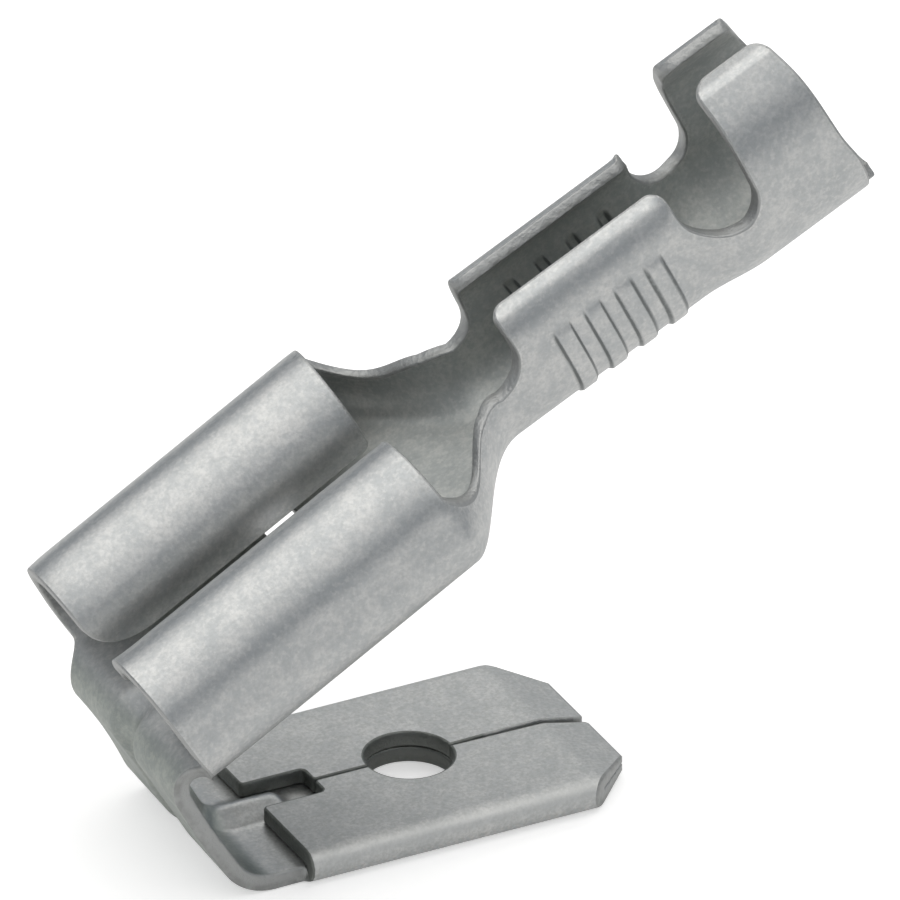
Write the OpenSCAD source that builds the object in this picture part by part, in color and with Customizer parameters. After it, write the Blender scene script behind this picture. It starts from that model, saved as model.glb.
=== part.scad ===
// Piggyback receptacle terminal for 6.3 mm blade connectors, stamped and
// folded from one strip of tinned brass: a socket with two rolled-in edges,
// an open wire crimp, an open insulation crimp, and a male tab made by folding
// the strip double, which hangs back under the socket from a bend at its mouth.
// Lengths are in mm. The tab lies flat on z = 0 and points along +X; its hole
// stands on the origin. The socket and crimps rise towards +X and +Z.

/* [Sheet] */
// Thickness of the strip
sheet = 0.4; // [0.3:0.05:0.5]

/* [Male tab] */
// Width over the two folded edges
tab_width = 6.3; // [4.8:0.1:6.3]
// Hole centre to tip
tab_reach = 4.55; // [3.5:0.05:6]
// Hole centre to the inner ends of the folded layer
fold_reach = 4.05; // [3:0.05:5]
// Diameter of the locating hole
tab_hole_d = 2.08; // [1.4:0.02:2.6]
// Corner cut at the tip, measured along each edge
tip_corner = 1.3; // [0.5:0.1:2]
// Length of the thinned lead-in at the tip
lead_length = 1.15; // [0.5:0.05:1.5]
// Drop of the lead-in on the folded side
lead_drop = 0.27; // [0.05:0.01:0.3]
// Rise of the lead-in on the flat side
lead_rise = 0.14; // [0.05:0.01:0.3]
// Width of the closed seam between the two folded edges
seam_width = 0.04; // [0.02:0.01:0.1]
// Width of the seam where it opens at the tip
seam_mouth = 0.2; // [0.05:0.01:0.4]
// Width of the relief in the folded layer around the bead
relief_width = 1.1; // [0.8:0.1:2]
// Length of that relief
relief_length = 1.6; // [1:0.1:2.5]

/* [Bend] */
// Angle between the tab and the socket floor
lift = 30; // [20:1:40]
// Width of the strip through the bend
web_width = 5.6; // [4:0.1:6]
// Inside radius of the bend at the socket mouth
mouth_bend_r = 0.5; // [0.4:0.05:1]
// Straight stretch between the two bends
web_straight = 2.43; // [1.5:0.01:4]
// Inside radius of the bend into the tab
tab_bend_r = 1.0; // [0.6:0.05:2]
// Flat stretch between the bend and the folded layer
tab_root = 0.76; // [0.4:0.02:2]
// Fillet where the strip leaves the socket mouth
web_fillet = 0.75; // [0.3:0.05:1]
// Radius of the stiffening bead
bead_r = 0.45; // [0.3:0.05:0.6]
// Height of the bead over the inner face
bead_height = 0.36; // [0.2:0.02:0.4]
// Radius of the groove behind the bead
bead_groove_r = 0.32; // [0.2:0.02:0.4]
// Length of the bead along the tab past the bend
bead_run = 1.7; // [0.5:0.1:2]
// Length of the bead along the socket floor
bead_start = 0.4; // [0.2:0.1:1]

/* [Socket] */
// Length of the rolled edges
socket_length = 7.85; // [6:0.05:9]
// Overall width
socket_width = 8.0; // [7:0.1:9]
// Outside radius of the lower corners
corner_r = 1.1; // [0.7:0.05:1.3]
// Outside radius of the rolled edges
curl_r = 1.55; // [1.3:0.05:1.8]
// Distance between the axes of the two rolled edges
curl_spacing = 4.6; // [4:0.1:5]
// Slope of the side walls towards the middle
wall_lean = 13; // [5:1:20]
// Angle at which a rolled edge ends, counted from sideways
curl_end = 198; // [170:1:215]
// Length of the rounded cut-back at the mouth end of the rolled tips
curl_cutback = 1.5; // [0.5:0.1:2]
// Height of that cut-back at the mouth
cutback_height = 1.1; // [0.4:0.1:1.4]
// Length of the slot across the floor
floor_slot_length = 0.85; // [0.5:0.05:1.5]
// Width of that slot
floor_slot_width = 5.0; // [3:0.1:5.6]
// Mouth to the middle of that slot
floor_slot_at = 5.23; // [3:0.01:6.5]

/* [Neck] */
// Angle by which the crimps dip below the line of the socket floor
neck_dip = 3.5; // [0:0.5:8]
// Length over which the socket narrows to the wire crimp
neck_length = 2.75; // [2:0.05:4]
// Wall height at the shallow place behind the rolled edges
neck_low = 1.45; // [0.8:0.01:2]
// Wall height on the way to the wire crimp
neck_high = 1.9; // [1.5:0.05:2.5]
// Length over which the wall falls to its shallow place
neck_fall = 0.95; // [0.5:0.05:1.5]
// Length over which it rises again
neck_rise = 1.1; // [0.5:0.05:1.5]
// Height of the wall over the shallow place where it leaves the rolled edge
neck_start = 0.8; // [0.3:0.05:1.2]
// Radius of the inner corner in front of the wings
neck_corner = 0.92; // [0.3:0.02:1.2]

/* [Wire crimp] */
// Inside radius of its floor
wire_r = 1.05; // [0.8:0.05:1.4]
// Floor above the line of the socket floor
wire_rise = 0.04; // [0:0.01:0.3]
// Height of the straight walls above the floor radius
wire_wall = 1.17; // [0.5:0.01:2]
// Angle through which the wing tips curl inwards
wire_curl = 53; // [20:1:80]
// Start of the wings, from the socket's rear edge
wire_from = 3.53; // [3:0.01:4.5]
// Length of the wings
wire_length = 4.8; // [3:0.05:6]
// Corner radius of the wings
wire_corner = 0.35; // [0.1:0.05:0.8]
// Number of pressed bands across the floor
band_count = 4; // [2:1:5]
// Start of the wings to the middle of the first band
band_from = 1.17; // [0.5:0.01:2]
// Spacing of the bands
band_pitch = 0.86; // [0.7:0.01:1.2]
// Width of one band
band_width = 0.46; // [0.3:0.01:0.6]
// Height of a band over the outside
band_height = 0.07; // [0.03:0.01:0.12]
// Depth of a band on the inside
band_depth = 0.1; // [0.05:0.01:0.15]
// How far a band runs up the inside past the straight wall
band_past = 0.38; // [0.1:0.02:0.5]

/* [Insulation crimp] */
// Inside radius of its floor
insulation_r = 1.52; // [1.2:0.02:2]
// Height of the straight walls above the floor radius
insulation_wall = 1.59; // [0.5:0.01:2.5]
// Outside radius of the wing tips
insulation_tip_r = 2.2; // [1.5:0.05:3]
// Angle through which the wing tips curl inwards
insulation_curl = 56; // [20:1:80]
// Start of the wings, from the socket's rear edge
insulation_from = 10.1; // [9:0.05:11]
// Length of the wings at the floor
insulation_length = 2.5; // [1.5:0.05:4]
// Length of the wings at their tips
insulation_tip_length = 1.85; // [1:0.05:4]
// Corner radius of the wings
insulation_corner = 0.45; // [0.1:0.05:0.8]
// Wall height in the gap between the crimps
gap_wall = 2.15; // [1.2:0.05:2.5]
// Radius of the two inner corners of that gap
gap_corner = 0.75; // [0.2:0.05:0.85]
// Width of the cut-off stub of the carrier strip
stub_width = 1.4; // [1:0.1:2.5]
// Length of that stub behind the wings
stub_length = 0.2; // [0.1:0.05:1]

/* [Hidden] */
$fn = 96;
// How far a cutter reaches past what it cuts
over = 1;
// How far two joined stretches of strip run into each other
lap = 0.05;
// Turn of the domes at the bead's ends, so that no pole lies on a face
dome_turn = 60;
// How much smaller than its neighbour the end of such a stretch is
joint_inset = 0.02;
joint_trim = 1;
// Drop of the insulation crimp floor below the wire crimp floor
floor_drop = 0.08;
bend_x = -fold_reach - tab_root;
bend_z = sheet + tab_bend_r;
bend_step = tab_bend_r - mouth_bend_r;

// Forms of the folded section, each as: half of the flat floor, floor corner
// radius, wall lean, straight wall, tip radius, tip curl and height of the floor
corner_y = socket_width/2 - corner_r;
socket_wall = (corner_y - curl_spacing/2 + (corner_r - curl_r)*cos(wall_lean))/sin(wall_lean);
socket_curl = curl_end - wall_lean;
socket_form = [corner_y, corner_r, wall_lean, socket_wall, curl_r, socket_curl, 0];
neck_form = [corner_y, corner_r, wall_lean, socket_wall, curl_r, wire_curl, 0];
wire_out = wire_r + sheet;
wire_form = [0, wire_out, 0, wire_wall, wire_out, wire_curl, wire_rise];
insulation_out = insulation_r + sheet;
insulation_base = wire_rise - floor_drop;
insulation_form = [0, insulation_out, 0, insulation_wall, insulation_tip_r,
                   insulation_curl, insulation_base];
wire_top = wire_rise + wire_out + wire_wall + wire_out*sin(wire_curl);
insulation_top = insulation_base + insulation_out + insulation_wall
               + insulation_tip_r*sin(insulation_curl);

// Where the stretches behind the socket meet; the widening starts a little
// inside the wire wings and ends a little in front of the insulation wings
widen_lead = 0.3;
widen_tail = 0.4;
wire_to = wire_from + wire_length;
widen_from = wire_to - widen_lead;
widen_to = insulation_from - widen_tail;
insulation_to = insulation_from + insulation_length;

// Steps along each kind of stretch where the section changes
corner_steps = 10;
tip_steps = 6;
neck_steps = 16;
widen_steps = 8;
// How early the neck narrows; 1 narrows evenly about its middle
neck_onset = 0.85;
edge_steps = 8;

function smooth(k) = k*k*(3 - 2*k);
function form_between(a, b, k) = [for (i = [0:6]) a[i] + (b[i] - a[i])*k];
function tip_centre(form) =
    [form[0] + (form[1] - form[4])*cos(form[2]) - form[3]*sin(form[2]),
     form[6] + form[1] + (form[1] - form[4])*sin(form[2]) + form[3]*cos(form[2])];

// One half of a section from the middle of the floor out to the wing tip, as
// points [y, z], moved inwards from the outer face by the distance "inset";
// "trim" shortens the wing tip by that many degrees
function half_section(form, inset, trim) =
    let (tip = tip_centre(form), floor_r = form[1] - inset, tip_r = form[4] - inset)
    concat(
        [for (i = [0:corner_steps])
            let (a = -90 + (form[2] + 90)*i/corner_steps)
            [form[0] + floor_r*cos(a), form[6] + form[1] + floor_r*sin(a)]],
        [for (i = [0:tip_steps])
            let (a = form[2] + (form[5] - trim)*i/tip_steps)
            tip + tip_r*[cos(a), sin(a)]]);

function reversed(points) = [for (i = [len(points) - 1:-1:0]) points[i]];
function mirrored(points) = [for (p = reversed(points)) [-p[0], p[1]]];
function sheet_section(form, inset = 0, trim = 0) =
    let (outer = half_section(form, inset, trim),
         inner = half_section(form, sheet - inset, trim))
    concat(mirrored(outer), outer, reversed(inner), reversed(mirrored(inner)));
// Section for the end of a loft that runs a little way into its neighbour
function joint_section(form) = sheet_section(form, joint_inset, joint_trim);

// Closed solid through sections with equal numbers of points; each is given as
// [x, pitch, points] and stands across the X axis, leaning back by "pitch"
module loft(sections) {
    n = len(sections[0][2]);
    last = (len(sections) - 1)*n;
    points = [for (s = sections, p = s[2]) [s[0] - p[1]*sin(s[1]), p[0], p[1]*cos(s[1])]];
    sides = [for (j = [0:n:last - 1], i = [0:n - 1])
        [j + i, j + (i + 1)%n, j + n + (i + 1)%n, j + n + i]];
    split = [for (f = sides, k = [0, 1]) k == 0 ? [f[0], f[2], f[1]] : [f[0], f[3], f[2]]];
    ends = [for (i = [0:n/2 - 2]) [i, n - 1 - i, n - 2 - i, i + 1]];
    caps = [for (f = ends, k = [0, 1]) k == 0 ? [f[0], f[2], f[1]] : [f[0], f[3], f[2]]];
    far_caps = [for (f = caps) last*[1, 1, 1] + [f[2], f[1], f[0]]];
    polyhedron(points, concat(split, caps, far_caps), convexity = 10);
}

// Axis of the bend into the tab, turned to the socket's own directions
module at_tab_bend() {
    translate([bend_x, 0, bend_z]) rotate([0, -lift, 0]) children();
}

module at_mouth_bend() {
    at_tab_bend() translate([-bend_step, 0, web_straight]) children();
}

// Underside of the socket floor at the mouth
module in_socket() {
    at_mouth_bend() translate([0, 0, mouth_bend_r]) children();
}

module in_crimps() {
    in_socket() translate([socket_length, 0, 0]) rotate([0, neck_dip, 0]) children();
}

// Turns a flat shape drawn in X and Z into a prism across the part
module side_prism(width) {
    rotate([90, 0, 0]) linear_extrude(height = width, center = true) children();
}

// Turns a flat shape drawn in Y and Z into a prism along X
module long_prism(from, to) {
    translate([from, 0, 0]) rotate([90, 0, 90]) linear_extrude(height = to - from) children();
}

// Sweeps a flat shape about the Y axis through the given angles from +X to +Z
module bend(from, to) {
    rotate([90, 0, 0]) rotate([0, 0, from]) rotate_extrude(angle = to - from) children();
}

module wedge(r, from, to) {
    steps = ceil((to - from)/30);
    polygon(concat([[0, 0]], [for (i = [0:steps])
        let (a = from + (to - from)*i/steps) 2*r*[cos(a), sin(a)]]));
}

module arc_strip(r, from, to) {
    intersection() {
        difference() {
            circle(r);
            circle(r - sheet);
        }
        wedge(r, from, to);
    }
}

// Exact flat outline of a folded section
module section_outline(form) {
    for (side = [0, 1]) mirror([side, 0]) {
        if (form[0] > 0) translate([0, form[6]]) square([form[0], sheet]);
        translate([form[0], form[6] + form[1]]) {
            arc_strip(form[1], -90, form[2]);
            rotate(form[2]) translate([form[1] - sheet, 0]) square([sheet, form[3]]);
        }
        translate(tip_centre(form)) arc_strip(form[4], form[2], form[2] + form[5]);
    }
}

module tab_outline() {
    half = tab_width/2;
    polygon([
        [-fold_reach, -half], [tab_reach - tip_corner, -half],
        [tab_reach, tip_corner - half], [tab_reach, half - tip_corner],
        [tab_reach - tip_corner, half], [-fold_reach, half]
    ]);
}

// Double layer seen from its tip, with its two edges folded round
module folded_outline() {
    flat = tab_width - 2*sheet;
    translate([-flat/2, 0]) square([flat, 2*sheet]);
    for (side = [-1, 1]) translate([side*flat/2, sheet]) circle(sheet);
}

module lead_in() {
    side_prism(tab_width + over) polygon([
        [-fold_reach, 0], [tab_reach - lead_length, 0], [tab_reach, lead_rise],
        [tab_reach, 2*sheet - lead_drop], [tab_reach - lead_length, 2*sheet],
        [-fold_reach, 2*sheet]
    ]);
}

module seam() {
    closed_to = tab_hole_d/2;
    translate([0, 0, sheet]) linear_extrude(height = sheet + over) {
        translate([-fold_reach, -seam_width/2]) square([fold_reach + closed_to, seam_width]);
        polygon([
            [closed_to, -seam_width/2], [tab_reach + over, -seam_mouth/2],
            [tab_reach + over, seam_mouth/2], [closed_to, seam_width/2]
        ]);
        translate([-fold_reach - over, -relief_width/2])
            square([relief_length + over, relief_width]);
    }
}

module male_tab() {
    difference() {
        union() {
            intersection() {
                long_prism(-fold_reach, tab_reach) folded_outline();
                linear_extrude(height = 2*sheet) tab_outline();
                lead_in();
            }
            translate([bend_x, -web_width/2, 0])
                cube([tab_root + lap, web_width, sheet]);
        }
        translate([0, 0, -over]) cylinder(h = 2*sheet + 2*over, d = tab_hole_d);
        seam();
    }
}

// Straight stretch between the two bends, its shape drawn at bend distance
module along_web() {
    at_mouth_bend() translate([0, 0, -web_straight]) rotate([0, 0, 180])
        linear_extrude(height = web_straight) children();
}

// Part of a circle in the band from "low" to "high" beyond a sheet's inner face
module round_band(face, centre, r, low, high) {
    intersection() {
        translate([face + centre, 0]) circle(r);
        translate([face + low, -r]) square([high - low, 2*r]);
    }
}

// Straight run of the same shape along X with a domed end, standing on its side
// of a sheet whose inner face is the plane z = 0 and whose outer face is below
module domed_run(length, centre, r, low, high) {
    intersection() {
        translate([0, 0, -centre]) {
            rotate([0, 90, 0]) cylinder(h = length, r = r);
            translate([length, 0, 0]) rotate([0, dome_turn, 0]) sphere(r);
        }
        translate([0, -r, -high]) cube([length + r, 2*r, high - low]);
    }
}

// The bead's path round both bends, from the socket floor to the tab
module bead_sweep(centre, r, low, high) {
    at_tab_bend() bend(180, 270 - lift) round_band(tab_bend_r, centre, r, low, high);
    along_web() round_band(mouth_bend_r, centre, r, low, high);
    at_mouth_bend() bend(90, 180) round_band(mouth_bend_r, centre, r, low, high);
    translate([bend_x, 0, sheet]) domed_run(bead_run, centre, r, low, high);
    in_socket() mirror([0, 0, 1]) domed_run(bead_start, centre, r, low, high);
}

module bead() {
    bead_sweep(bead_r - bead_height, bead_r, -bead_height, sheet/2);
}

module bead_groove() {
    bead_sweep(sheet, bead_groove_r, sheet - bead_groove_r, sheet + lap);
}

// Strip from the socket mouth down to the tab, with its root fillets
module web() {
    root_y = web_width/2 + web_fillet;
    at_tab_bend() bend(180, 270 - lift)
        translate([tab_bend_r, -web_width/2]) square([sheet, web_width]);
    along_web() translate([mouth_bend_r, -web_width/2]) square([sheet, web_width]);
    in_socket() difference() {
        union() {
            translate([0, 0, -mouth_bend_r]) bend(90, 180)
                translate([mouth_bend_r, -corner_y - web_fillet/2])
                    square([sheet, 2*corner_y + web_fillet]);
            intersection() {
                long_prism(-web_fillet/2, lap) section_outline(socket_form);
                translate([-over, -root_y, 0]) cube([2*over, 2*root_y, corner_r]);
            }
        }
        for (side = [-1, 1])
            translate([-web_fillet, side*root_y, -over]) {
                cylinder(h = corner_r + 2*over, r = web_fillet);
                translate([-over, min(0, side*over), 0])
                    cube([over + web_fillet - lap/5, over, corner_r + 2*over]);
                translate([-over, min(-side*web_fillet, 0), 0])
                    cube([over, web_fillet, corner_r + 2*over]);
            }
    }
}

// Rounded cut-back of one rolled tip at the mouth
module tip_cutback() {
    tip_z = tip_centre(socket_form)[1] + curl_r*sin(curl_end);
    side_prism(curl_spacing) polygon(concat(
        [[-over, tip_z - sheet], [curl_cutback, tip_z - sheet]],
        [for (i = [0:edge_steps]) let (k = i/edge_steps)
            [curl_cutback*(1 - k), tip_z + cutback_height*k*k]],
        [[-over, tip_z + cutback_height]]));
}

module socket() {
    in_socket() difference() {
        long_prism(0, socket_length) section_outline(socket_form);
        translate([floor_slot_at - floor_slot_length/2, -floor_slot_width/2, -over])
            cube([floor_slot_length, floor_slot_width, sheet + 2*over]);
        tip_cutback();
    }
}

// Side view of the strip behind the socket: low walls, wings and the gap
module crimp_outline() {
    polygon(concat(
        [[-over, -over], [-over, neck_low + neck_start]],
        [for (i = [0:edge_steps]) let (k = i/edge_steps)
            [neck_fall*k, neck_low + neck_start*(1 - k)*(1 - k)]],
        [for (i = [1:edge_steps]) let (k = i/edge_steps)
            [neck_fall + neck_rise*k, neck_low + (neck_high - neck_low)*smooth(k)]],
        [for (i = [0:edge_steps]) let (a = 90*i/edge_steps)
            [wire_from - neck_corner*(1 - sin(a)), neck_high + neck_corner*(1 - cos(a))]],
        [[wire_from + over, neck_high + neck_corner], [wire_from + over, -over]]));
    translate([wire_from, -over]) wing_outline(wire_length, wire_length,
                                              wire_top + lap + over, wire_corner);
    difference() {
        translate([wire_to - over, -over])
            square([insulation_from - wire_to + 2*over, gap_wall + gap_corner + over]);
        translate([wire_to, gap_wall]) {
            gap = insulation_from - wire_to;
            for (x = [gap_corner, gap - gap_corner])
                translate([x, gap_corner]) circle(gap_corner);
            translate([gap_corner, 0]) square([gap - 2*gap_corner, gap_corner + over]);
            translate([0, gap_corner]) square([gap, over]);
        }
    }
    translate([insulation_from, -over]) wing_outline(insulation_length,
        insulation_tip_length, insulation_top + lap + over, insulation_corner);
}

// Wing seen from the side, standing on y = 0, its rear edge leaning forwards
module wing_outline(foot, tip, height, r) {
    slope = atan2(foot - tip, height - gap_wall - over);
    intersection() {
        polygon([
            [0, 0], [foot, 0], [foot, gap_wall + over], [tip, height], [0, height]
        ]);
        union() {
            square([foot, height - r]);
            translate([r, height - r]) circle(r);
            translate([r, 0]) square([tip - 2*r, height]);
            translate([tip - r, height - r]) rotate(-slope) {
                circle(r);
                translate([-r, -over]) square([2*r, over]);
            }
        }
    }
}

module bands() {
    half = wire_out + band_height;
    top = wire_rise + wire_out + wire_wall;
    for (i = [0:band_count - 1])
        translate([wire_from + band_from + i*band_pitch - band_width/2, 0, 0])
            long_prism(0, band_width) difference() {
                union() {
                    translate([0, wire_rise + wire_out]) circle(half);
                    translate([-half, wire_rise + wire_out])
                        square([2*half, wire_wall]);
                }
                translate([0, wire_rise + wire_out]) circle(wire_out - sheet/2);
                translate([sheet/2 - wire_out, wire_rise + wire_out])
                    square([2*wire_out - sheet, wire_wall + over]);
            }
}

module band_grooves() {
    half = wire_r + band_depth;
    for (i = [0:band_count - 1])
        translate([wire_from + band_from + i*band_pitch - band_width/2, 0, 0])
            long_prism(0, band_width) {
                translate([0, wire_rise + wire_out]) circle(half);
                translate([-half, wire_rise + wire_out])
                    square([2*half, wire_wall + band_past]);
            }
}

module neck() {
    loft(concat(
        [[-lap, neck_dip, joint_section(neck_form)]],
        [for (i = [1:neck_steps - 1])
            let (k = i/neck_steps, narrowed = smooth(pow(k, neck_onset)))
            [neck_length*k, neck_dip*(1 - k),
             sheet_section(form_between(neck_form, wire_form, narrowed))]],
        [[neck_length + lap, 0, joint_section(wire_form)]]));
}

module widening() {
    loft(concat(
        [[widen_from - lap, 0, joint_section(wire_form)]],
        [for (i = [1:widen_steps - 1]) let (k = i/widen_steps)
            [widen_from + (widen_to - widen_from)*k, 0,
             sheet_section(form_between(wire_form, insulation_form, smooth(k)))]],
        [[widen_to + lap, 0, joint_section(insulation_form)]]));
}

module crimps() {
    in_crimps() {
        difference() {
            union() {
                intersection() {
                    union() {
                        neck();
                        long_prism(neck_length, widen_from) section_outline(wire_form);
                        widening();
                        long_prism(widen_to, insulation_to) section_outline(insulation_form);
                    }
                    side_prism(socket_width + over) crimp_outline();
                }
                bands();
            }
            band_grooves();
        }
        translate([insulation_to - lap, -stub_width/2, insulation_base])
            cube([stub_length + lap, stub_width, sheet]);
    }
}

module terminal() {
    color("silver") difference() {
        union() {
            male_tab();
            web();
            bead();
            socket();
            crimps();
        }
        bead_groove();
    }
}

terminal();
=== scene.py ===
"""Dresses the piggyback receptacle terminal: one strip of tinned brass, folded.

The strip is drawn flat as a blank, cut into small faces, folded by rule into
its socket, crimps, double bend and male tab, pressed with bands by a geometry
node tree, and finished as satin tin plate with sheared edges.
"""
import logging
import math
from dataclasses import dataclass, field
from enum import Enum
from functools import partial

import bpy
import numpy as np
from bpy.types import Material, Mesh, Node, NodeSocket, NodeTree, Object
from mathutils import Matrix, Vector, geometry, kdtree


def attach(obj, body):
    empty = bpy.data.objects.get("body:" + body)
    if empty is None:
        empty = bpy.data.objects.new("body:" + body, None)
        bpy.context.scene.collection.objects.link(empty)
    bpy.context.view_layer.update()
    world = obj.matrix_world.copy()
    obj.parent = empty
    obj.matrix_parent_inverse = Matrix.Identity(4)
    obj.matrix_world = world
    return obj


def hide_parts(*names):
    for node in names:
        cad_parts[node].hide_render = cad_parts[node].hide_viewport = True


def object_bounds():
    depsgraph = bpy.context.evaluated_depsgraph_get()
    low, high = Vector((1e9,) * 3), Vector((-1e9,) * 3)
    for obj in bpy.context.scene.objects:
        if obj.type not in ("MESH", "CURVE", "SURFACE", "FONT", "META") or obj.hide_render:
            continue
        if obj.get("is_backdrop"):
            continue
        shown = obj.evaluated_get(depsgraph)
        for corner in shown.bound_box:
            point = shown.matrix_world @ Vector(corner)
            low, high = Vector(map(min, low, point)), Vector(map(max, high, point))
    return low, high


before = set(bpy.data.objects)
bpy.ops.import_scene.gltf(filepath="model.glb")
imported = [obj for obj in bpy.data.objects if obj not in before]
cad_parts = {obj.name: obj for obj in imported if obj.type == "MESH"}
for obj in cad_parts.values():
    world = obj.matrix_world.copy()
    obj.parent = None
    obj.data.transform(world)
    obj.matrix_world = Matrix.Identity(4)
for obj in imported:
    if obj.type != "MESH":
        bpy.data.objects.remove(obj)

MM = 0.001  # metres in a millimetre
TINY = 1e-6  # shortest length and smallest area that count, in mm and mm2
ON_LINE = 0.001  # how near to a line counts as on it, in mm
CAD_BOX = [list(corner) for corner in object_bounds()]

logging.basicConfig(level=logging.INFO, format="%(name)s: %(message)s")
log = logging.getLogger("terminal")

Array = np.ndarray
Points = list[tuple[float, float]]
Triple = tuple[float, float, float]
Ends = tuple[float, float, float, float]  # a range, then what it maps to


class Region(Enum):
    """Stretches of the strip, each with its points' spacing along it, in mm."""

    TAB = 0.14
    BENDS = 0.075
    SOCKET = 0.17
    NECK = 0.1
    WIRE = 0.05
    REAR = 0.12


def smooth(k: Array | float) -> Array | float:
    """Eases 0..1 so that it starts and ends level."""
    k = np.clip(k, 0.0, 1.0)
    return k * k * (3 - 2 * k)


def distances(places: Array, marks: Array) -> Array:
    """Measures how far each place lies from the nearest mark.

    Args:
        places: Points of the blank.
        marks: Points to measure to.

    Returns:
        One distance for each place.
    """
    tree = kdtree.KDTree(len(marks))
    for i, (s, q) in enumerate(marks):
        tree.insert((s, q, 0), i)
    tree.balance()
    return np.array([tree.find((s, q, 0))[2] for s, q in places])


def placed(name: str, data: bpy.types.ID) -> Object:
    """Makes an object of some data and puts it in the scene.

    Args:
        name: Its name.
        data: Its mesh, camera or lamp.

    Returns:
        The object.
    """
    made = bpy.data.objects.new(name, data)
    bpy.context.scene.collection.objects.link(made)
    return made


def maths(tree: NodeTree, what: str, *values: NodeSocket | float) -> NodeSocket:
    """Adds one sum to a node tree.

    Args:
        tree: The tree.
        what: The operation.
        values: What it works on, links or numbers.

    Returns:
        Its result.
    """
    node = tree.nodes.new("ShaderNodeMath")
    node.operation = what
    for socket, value in zip(node.inputs, values):
        if isinstance(value, (int, float)):
            socket.default_value = value
        else:
            tree.links.new(value, socket)
    return node.outputs[0]


def ranged(tree: NodeTree, value: NodeSocket, low: float, high: float, to_low: float,
           to_high: float) -> NodeSocket:
    """Maps a value from one range to another.

    Args:
        tree: The tree that the value is in.
        value: The value.
        low: Start of its range.
        high: End of its range.
        to_low: Result at the start.
        to_high: Result at the end.

    Returns:
        The mapped value.
    """
    node = tree.nodes.new("ShaderNodeMapRange")
    tree.links.new(value, node.inputs["Value"])
    for name, number in (("From Min", low), ("From Max", high),
                         ("To Min", to_low), ("To Max", to_high)):
        node.inputs[name].default_value = number
    return node.outputs["Result"]


@dataclass(frozen=True)
class Sheet:
    """Brass strip and the small rounding left along its sheared edges."""

    thickness: float = 0.4
    rolled: float = 0.055

    @property
    def middle(self) -> float:
        """Depth of the middle of the strip."""
        return self.thickness / 2

    def edge_rows(self) -> Points:
        """Lists the rows of points over a sheared edge.

        Returns:
            Pairs of inset from the blank's outline and depth in the strip.
        """
        e, t = self.rolled, self.thickness
        return [(e, 0.0), (e * 0.5, 0.01), (e * 0.16, 0.03), (0.0, 0.065),
                (0.006, 0.25), (0.0, t - 0.045), (e * 0.25, t - 0.012), (e, t)]


@dataclass(frozen=True)
class Section:
    """Folded cross-section, symmetric about its middle."""

    flat: float
    floor_r: float
    lean: float
    wall: float
    tip_r: float
    curl: float
    base: float
    tail: float = 0.0

    def values(self) -> Array:
        """Lists the eight sizes as one column."""
        return np.array([self.flat, self.floor_r, self.lean, self.wall,
                         self.tip_r, self.curl, self.base, self.tail])


ROLLED = Section(2.9, 1.1, 13.0, 0.718, 1.55, 185.0, 0.0)


@dataclass(frozen=True)
class Folding:
    """Turns distance across the blank into the folded section."""

    sheet: Sheet
    samples: int = 9
    peak: float = 1.1

    def reach(self, form: Array) -> Array:
        """Gives the half length of a section along the middle of the strip.

        Args:
            form: Section sizes, one column for each section.

        Returns:
            The half lengths.
        """
        flat, floor_r, lean, wall, tip_r, curl, _, tail = form
        m = self.sheet.middle
        return (flat + (floor_r - m) * np.radians(90 + lean) + wall
                + (tip_r - m) * np.radians(curl) + tail)

    def place(self, form: Array, q: Array, t: Array) -> tuple[Array, Array]:
        """Folds points of the blank into their sections.

        Args:
            form: Section sizes, one column for each point.
            q: Distance from the blank's middle line.
            t: Depth in the strip.

        Returns:
            Sideways place and height over the strip's underside.
        """
        flat, floor_r, lean, wall, tip_r, curl, base, _ = form
        m, a, tilt = self.sheet.middle, np.abs(q), np.radians(lean)
        floor_to = flat + (floor_r - m) * (np.pi / 2 + tilt)
        wall_to = floor_to + wall
        turn = (a - flat) / (floor_r - m) - np.pi / 2
        v2 = flat + (floor_r - t) * np.cos(turn)
        h2 = base + floor_r + (floor_r - t) * np.sin(turn)
        up = a - floor_to
        v3 = flat + (floor_r - t) * np.cos(tilt) - up * np.sin(tilt)
        h3 = base + floor_r + (floor_r - t) * np.sin(tilt) + up * np.cos(tilt)
        tip_v = flat + (floor_r - tip_r) * np.cos(tilt) - wall * np.sin(tilt)
        tip_h = base + floor_r + (floor_r - tip_r) * np.sin(tilt) + wall * np.cos(tilt)
        curl_to = wall_to + (tip_r - m) * np.radians(curl)
        beyond = np.maximum(a - curl_to, 0)
        curled = tilt + (np.minimum(a, curl_to) - wall_to) / (tip_r - m)
        v4 = tip_v + (tip_r - t) * np.cos(curled) - beyond * np.sin(curled)
        h4 = tip_h + (tip_r - t) * np.sin(curled) + beyond * np.cos(curled)
        which = [a <= flat, a <= floor_to, a <= wall_to]
        v = np.select(which, [a, v2, v3], v4)
        h = np.select(which, [base + t, h2, h3], h4)
        return np.sign(q) * v, h

    def eased(self, form: Array, q: Array, t: Array, span: Array
              ) -> tuple[Array, Array]:
        """Folds points as place does, and evens out the section's creases.

        Args:
            form: Section sizes, one column for each point.
            q: Distance from the blank's middle line.
            t: Depth in the strip.
            span: Distance to each side over which a point is evened out.

        Returns:
            Sideways place and height over the strip's underside.
        """
        total_v, total_h, total = 0.0, 0.0, 0.0
        for step in np.linspace(-1, 1, self.samples):
            weight = self.peak - abs(step)
            v, h = self.place(form, q + step * span, t)
            total_v, total_h = total_v + weight * v, total_h + weight * h
            total += weight
        return total_v / total, total_h / total


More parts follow.
